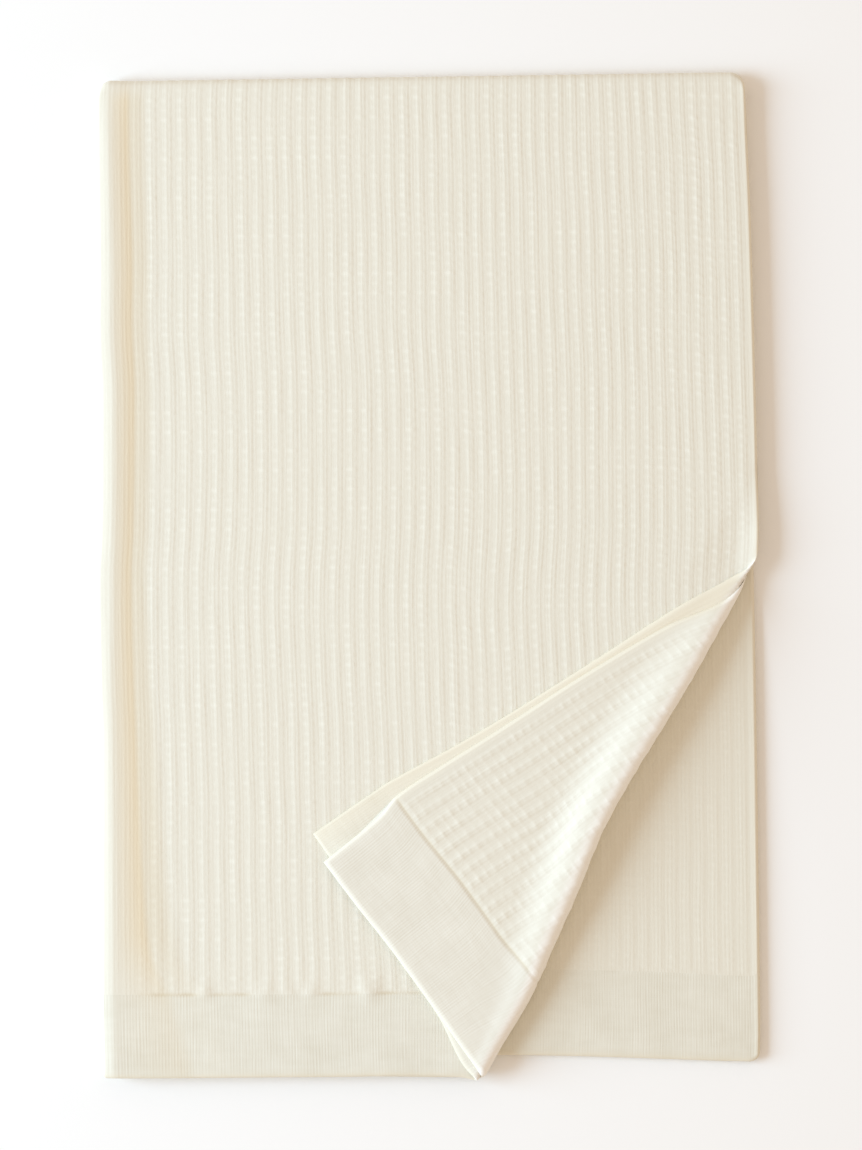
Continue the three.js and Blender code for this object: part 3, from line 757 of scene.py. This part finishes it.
def fold_cloth(cloth):
    """Folds the flat cloth. Its flat places become its UV map, in metres, and its painted light and shade
    attributes.
    """
    flat = np.array([vert.co for vert in cloth.verts])
    across, along, level = flat[:, 0], flat[:, 1], flat[:, 2]
    uv = cloth.loops.layers.uv.new("flat_cloth")
    painted_shade = cloth.verts.layers.float.new("painted_shade")
    painted_warm_shade = cloth.verts.layers.float.new("painted_warm_shade")
    painted_light = cloth.verts.layers.float.new("painted_light")
    waffle = cloth.verts.layers.float.new("waffle")
    # Painted shade, painted warm shade and painted light, one attribute each.
    painted_dark = seam_painted_shade * seam_groove(across, along) + ridge_and_leaf_painted_shade(across, along)
    warm = np.maximum(ridge_painted_warm_shade(across, along), rim_painted_warm_shade(across, along))
    painted_lit = roll_painted_light(across, along)
    raised = np.maximum(waffle_share(across, along), np.abs(along) > seam_along)
    for vert, dark_share, shade, lit_share, share in zip(cloth.verts, painted_dark, warm, painted_lit, raised):
        vert[painted_shade] = dark_share
        vert[painted_warm_shade] = shade
        vert[painted_light] = lit_share
        vert[waffle] = share
    for face in cloth.faces:
        for loop in face.loops:
            loop[uv].uv = (loop.vert.co.x * MM, loop.vert.co.y * MM)
        face.smooth = True
        face.material_index = int(abs(face.calc_center_median().y) > seam_along)
    rim = rim_distance(across, along)
    thin = np.sqrt(1 - edge_thinning * (1 - ramp(rim, 0, edge_round)) ** 2)
    on_face = level > -0.25
    on_back = level < -0.75
    bead, droop = edge_shape(across, along)
    top = (face_lift(across, along) + bead) * thin
    lift = np.where(on_face, top, np.where(on_back, -half_thickness * thin, 0)) - droop
    bulge = np.where(on_face | on_back, 0, edge_bulge)
    across = across + np.sign(across) * np.where(half_width - np.abs(across) < 0.1, bulge, 0)
    along = along + np.sign(along) * np.where(half_length - np.abs(along) < 0.1, bulge, 0)
    points = np.column_stack(fold(across, along, lift))
    low, high = points.min(axis=0), points.max(axis=0)
    shift = np.array((-(low[0] + high[0]) / 2, -(low[1] + high[1]) / 2, -low[2]))
    for vert, point in zip(cloth.verts, (points + shift) * MM):
        vert.co = point
    bmesh.ops.recalc_face_normals(cloth, faces=cloth.faces[:])
    return shift * MM


def linear(hex_colour):
    """An sRGB hex colour as linear red, green, blue and alpha."""
    parts = [int(hex_colour[place:place + 2], 16) / 255 for place in (1, 3, 5)]
    return [part / 12.92 if part < 0.04045 else ((part + 0.055) / 1.055) ** 2.4 for part in parts] + [1]


def add_node(tree, kind, inputs, **settings):
    """Adds a node with its settings. Each input is given a value, or the output that is linked to it."""
    node = tree.nodes.new(kind)
    for name, value in settings.items():
        setattr(node, name, value)
    for name, value in inputs.items():
        if isinstance(value, bpy.types.NodeSocket):
            tree.links.new(value, node.inputs[name])
        else:
            node.inputs[name].default_value = value
    return node


def cashmere(name, stitches, streaks, beads, depth, colours):
    """Cashmere yarn, knitted and brushed: matt and pale, a faint bloom of loose fibre over rows of stitches.

    Each stitch line is an axis of the flat cloth, a pitch, a phase, a share of the depth, and a sharpness
    that narrows its crests. Each streak, the yarn's own unevenness, is a width, a length and a share. The
    beads where ribs and rows cross are a width, a length and a share. Where the yarn lies deeper shade is
    painted, and light where it stands higher, over the streaks' own tone. The tints are painted warm shade,
    painted shade and painted light.
    """
    material = bpy.data.materials.new(name)
    material.use_nodes = True
    tree = material.node_tree
    shader = tree.nodes["Principled BSDF"]
    place = add_node(tree, "ShaderNodeUVMap", {}, uv_map="flat_cloth").outputs["UV"]
    split = add_node(tree, "ShaderNodeSeparateXYZ", {0: place})
    waffle = add_node(tree, "ShaderNodeAttribute", {}, attribute_name="waffle").outputs["Fac"]
    fuzz_scale = 1 / (fuzz_size * MM)
    fuzz = add_node(tree, "ShaderNodeTexNoise", {"Vector": place, "Scale": fuzz_scale, "Detail": 3})
    height = fuzz.outputs["Fac"]
    for width, length, share in streaks:
        stretch = (1 / (width * MM), 1 / (length * MM), 1)
        drawn = add_node(tree, "ShaderNodeMapping", {"Vector": place, "Scale": stretch})
        streak = add_node(tree, "ShaderNodeTexNoise", {"Vector": drawn.outputs[0], "Scale": 1, "Detail": 1})
        total = add_node(
            tree,
            "ShaderNodeMath",
            {0: streak.outputs["Fac"], 1: share, 2: height},
            operation="MULTIPLY_ADD",
        )
        height = total.outputs[0]
    stretch = (1 / (patch_width * MM), 1 / (patch_length * MM), 1)
    spread = add_node(tree, "ShaderNodeMapping", {"Vector": place, "Scale": stretch})
    patch = add_node(tree, "ShaderNodeTexNoise", {"Vector": spread.outputs[0], "Scale": 1, "Detail": 1})
    broken = add_node(
        tree,
        "ShaderNodeMapRange",
        {"Value": patch.outputs["Fac"], "From Min": patch_bounds[0], "From Max": patch_bounds[1]},
    )
    rows = add_node(tree, "ShaderNodeMath", {0: broken.outputs[0], 1: waffle}, operation="MULTIPLY")

    def crests(axis, pitch, phase, sharpness):
        """Rounded crests across an axis of the flat cloth, from 0 between them to 1 on top."""
        turn = add_node(
            tree,
            "ShaderNodeMath",
            {0: split.outputs[axis], 1: 2 * math.pi / (pitch * MM), 2: phase},
            operation="MULTIPLY_ADD",
        )
        wave = add_node(tree, "ShaderNodeMath", {0: turn.outputs[0]}, operation="COSINE")
        crest = add_node(
            tree,
            "ShaderNodeMath",
            {0: wave.outputs[0], 1: 0.5, 2: 0.5},
            operation="MULTIPLY_ADD",
        )
        narrow = add_node(tree, "ShaderNodeMath", {0: crest.outputs[0], 1: sharpness}, operation="POWER")
        return narrow.outputs[0]

    for axis, pitch, phase, share, sharpness in stitches:
        strength = add_node(
            tree,
            "ShaderNodeMath",
            {0: rows.outputs[0] if axis == "Y" else 1, 1: share},
            operation="MULTIPLY",
        )
        total = add_node(
            tree,
            "ShaderNodeMath",
            {0: crests(axis, pitch, phase, sharpness), 1: strength.outputs[0], 2: height},
            operation="MULTIPLY_ADD",
        )
        height = total.outputs[0]
    streak_sum = sum(share for _, _, share in streaks)
    round_sum = sum(share for _, _, _, share, sharpness in stitches if sharpness == 1)
    middle = 0.5 * (1 + streak_sum + round_sum)
    # Painted shade and light: yarn that lies deeper gets the darker colour, yarn that stands higher the paler
    # one.
    level = add_node(
        tree,
        "ShaderNodeMapRange",
        {"Value": height, "From Min": middle - tone_below, "From Max": middle + tone_above},
    )
    shade = add_node(
        tree,
        "ShaderNodeMix",
        {"Factor": level.outputs[0], 6: linear(colours[0]), 7: linear(colours[1])},
        data_type="RGBA",
    )
    tone = shade.outputs[2]
    # Painted warm shade, painted shade and painted light, each mixed in by its attribute.
    for layer, tint in tints.items():
        amount = add_node(tree, "ShaderNodeAttribute", {}, attribute_name=layer)
        mixed = add_node(
            tree,
            "ShaderNodeMix",
            {"Factor": amount.outputs["Fac"], 6: tone, 7: linear(tint)},
            data_type="RGBA",
        )
        tone = mixed.outputs[2]
    tree.links.new(tone, shader.inputs["Base Color"])
    bead_width, bead_length, bead_height = beads
    bead = add_node(
        tree,
        "ShaderNodeMath",
        {0: crests("X", bead_width, 0, 1), 1: crests("Y", bead_length, 0, bead_sharpness)},
        operation="MULTIPLY",
    )
    uneven = add_node(
        tree,
        "ShaderNodeMath",
        {0: broken.outputs[0], 1: bead_unevenness * bead_height, 2: bead_share * bead_height},
        operation="MULTIPLY_ADD",
    )
    strength = add_node(tree, "ShaderNodeMath", {0: uneven.outputs[0], 1: waffle}, operation="MULTIPLY")
    total = add_node(
        tree,
        "ShaderNodeMath",
        {0: bead.outputs[0], 1: strength.outputs[0], 2: height},
        operation="MULTIPLY_ADD",
    )
    bump = add_node(
        tree,
        "ShaderNodeBump",
        {"Height": total.outputs[0], "Strength": 1, "Distance": depth * MM},
    )
    tree.links.new(bump.outputs["Normal"], shader.inputs["Normal"])
    shader.inputs["Roughness"].default_value = 0.95
    shader.inputs["Specular IOR Level"].default_value = 0.2
    shader.inputs["Sheen Weight"].default_value = 0.12
    shader.inputs["Sheen Roughness"].default_value = 0.5
    shader.inputs["Sheen Tint"].default_value = linear("#f6f1e4")
    return material


def make_throw():
    """The throw, with the waffle field and the plain hem as its two finishes."""
    cloth = flat_cloth()
    shift = fold_cloth(cloth)
    mesh = bpy.data.meshes.new("folded_throw")
    cloth.to_mesh(mesh)
    cloth.free()
    throw = bpy.data.objects.new("folded_throw", mesh)
    bpy.context.scene.collection.objects.link(throw)
    waffle = [
        ("X", rib_pitch / 2, 1.3, 1.2, 1),
        ("X", rib_pitch / 3, math.pi, 1.8, 1),
        ("X", rib_pitch / 4, 2.2, 1.8, 1),
        ("Y", row_pitch, 0, 1.8, 5),
        ("Y", row_pitch / 2, 0, 2.6, 4),
        ("Y", waffle_course, 0, 0.5, 1),
    ]
    jersey = [("X", jersey_stitch, 0, 0.9, 1), ("Y", jersey_course, 0, 0.4, 1)]
    waffle_streaks = [(1.8, 60, 5), (3, 12, 3), (1.5, 4, 4)]
    jersey_streaks = [(1.8, 40, 3), (24, 8, 4), (30, 40, 7)]
    waffle_beads = (rib_pitch, row_pitch / 2, 10)
    jersey_beads = (jersey_stitch, 2 * jersey_course, 0.3)
    # The darker tone is painted shade between stitches, the paler one painted light on their crests.
    waffle_tones = ("#e8e3d3", "#eeeadb")
    jersey_tones = ("#e1dccb", "#eeebdd")
    finishes = [
        ("cashmere_waffle_knit", waffle, waffle_streaks, waffle_beads, waffle_depth, waffle_tones),
        ("cashmere_jersey_hem", jersey, jersey_streaks, jersey_beads, jersey_depth, jersey_tones),
    ]
    for finish in finishes:
        mesh.materials.append(cashmere(*finish))
    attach(throw, "root")
    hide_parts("throw")
    return shift


def make_floor():
    """A plain pale floor of seamless paper: matt, near white."""
    paper = bpy.data.materials.new("seamless_paper")
    paper.use_nodes = True
    shader = paper.node_tree.nodes["Principled BSDF"]
    shader.inputs["Base Color"].default_value = linear("#fbfaf7")
    shader.inputs["Roughness"].default_value = 0.9
    shader.inputs["Specular IOR Level"].default_value = 0.1
    sheet = bmesh.new()
    bmesh.ops.create_grid(sheet, x_segments=1, y_segments=1, size=floor_half_size)
    mesh = bpy.data.meshes.new("floor")
    sheet.to_mesh(mesh)
    sheet.free()
    mesh.materials.append(paper)
    floor = bpy.data.objects.new("floor", mesh)
    bpy.context.scene.collection.objects.link(floor)


def add_light(name, place, target, size, power, colour):
    """A square soft light at a place, turned towards a target."""
    lamp = bpy.data.lights.new(name, "AREA")
    lamp.size = size
    lamp.energy = power
    lamp.color = linear(colour)[:3]
    light = bpy.data.objects.new(name, lamp)
    light.location = place
    aim = light.location.copy()
    aim.x, aim.y, aim.z = [goal - start for goal, start in zip(target, place)]
    light.rotation_euler = aim.to_track_quat("-Z", "Y").to_euler()
    bpy.context.scene.collection.objects.link(light)


def light_scene():
    """Soft light from the left, and a warm even fill from all round."""
    world = bpy.data.worlds.new("studio")
    world.use_nodes = True
    bpy.context.scene.world = world
    fill = world.node_tree.nodes["Background"]
    fill.inputs["Color"].default_value = linear("#ffecd9")
    fill.inputs["Strength"].default_value = fill_strength
    add_light("key", key_place, (0, 0, 0), key_size, key_power, "#c5e4ff")
    bpy.context.scene.view_settings.view_transform = "Standard"


def add_camera(shift):
    """A long lens straight above. The photograph is 862 by 1150 pixels, each 1 mm at the cloth's top."""
    lens = bpy.data.cameras.new("camera")
    lens.sensor_fit = "VERTICAL"
    lens.sensor_height = sensor_height
    lens.lens = sensor_height * camera_height / photo_height
    camera = bpy.data.objects.new("camera", lens)
    camera.location = (shift[0], shift[1], camera_height + cloth_top)
    bpy.context.scene.collection.objects.link(camera)
    bpy.context.scene.camera = camera


throw_shift = make_throw()
make_floor()
light_scene()
add_camera(throw_shift)
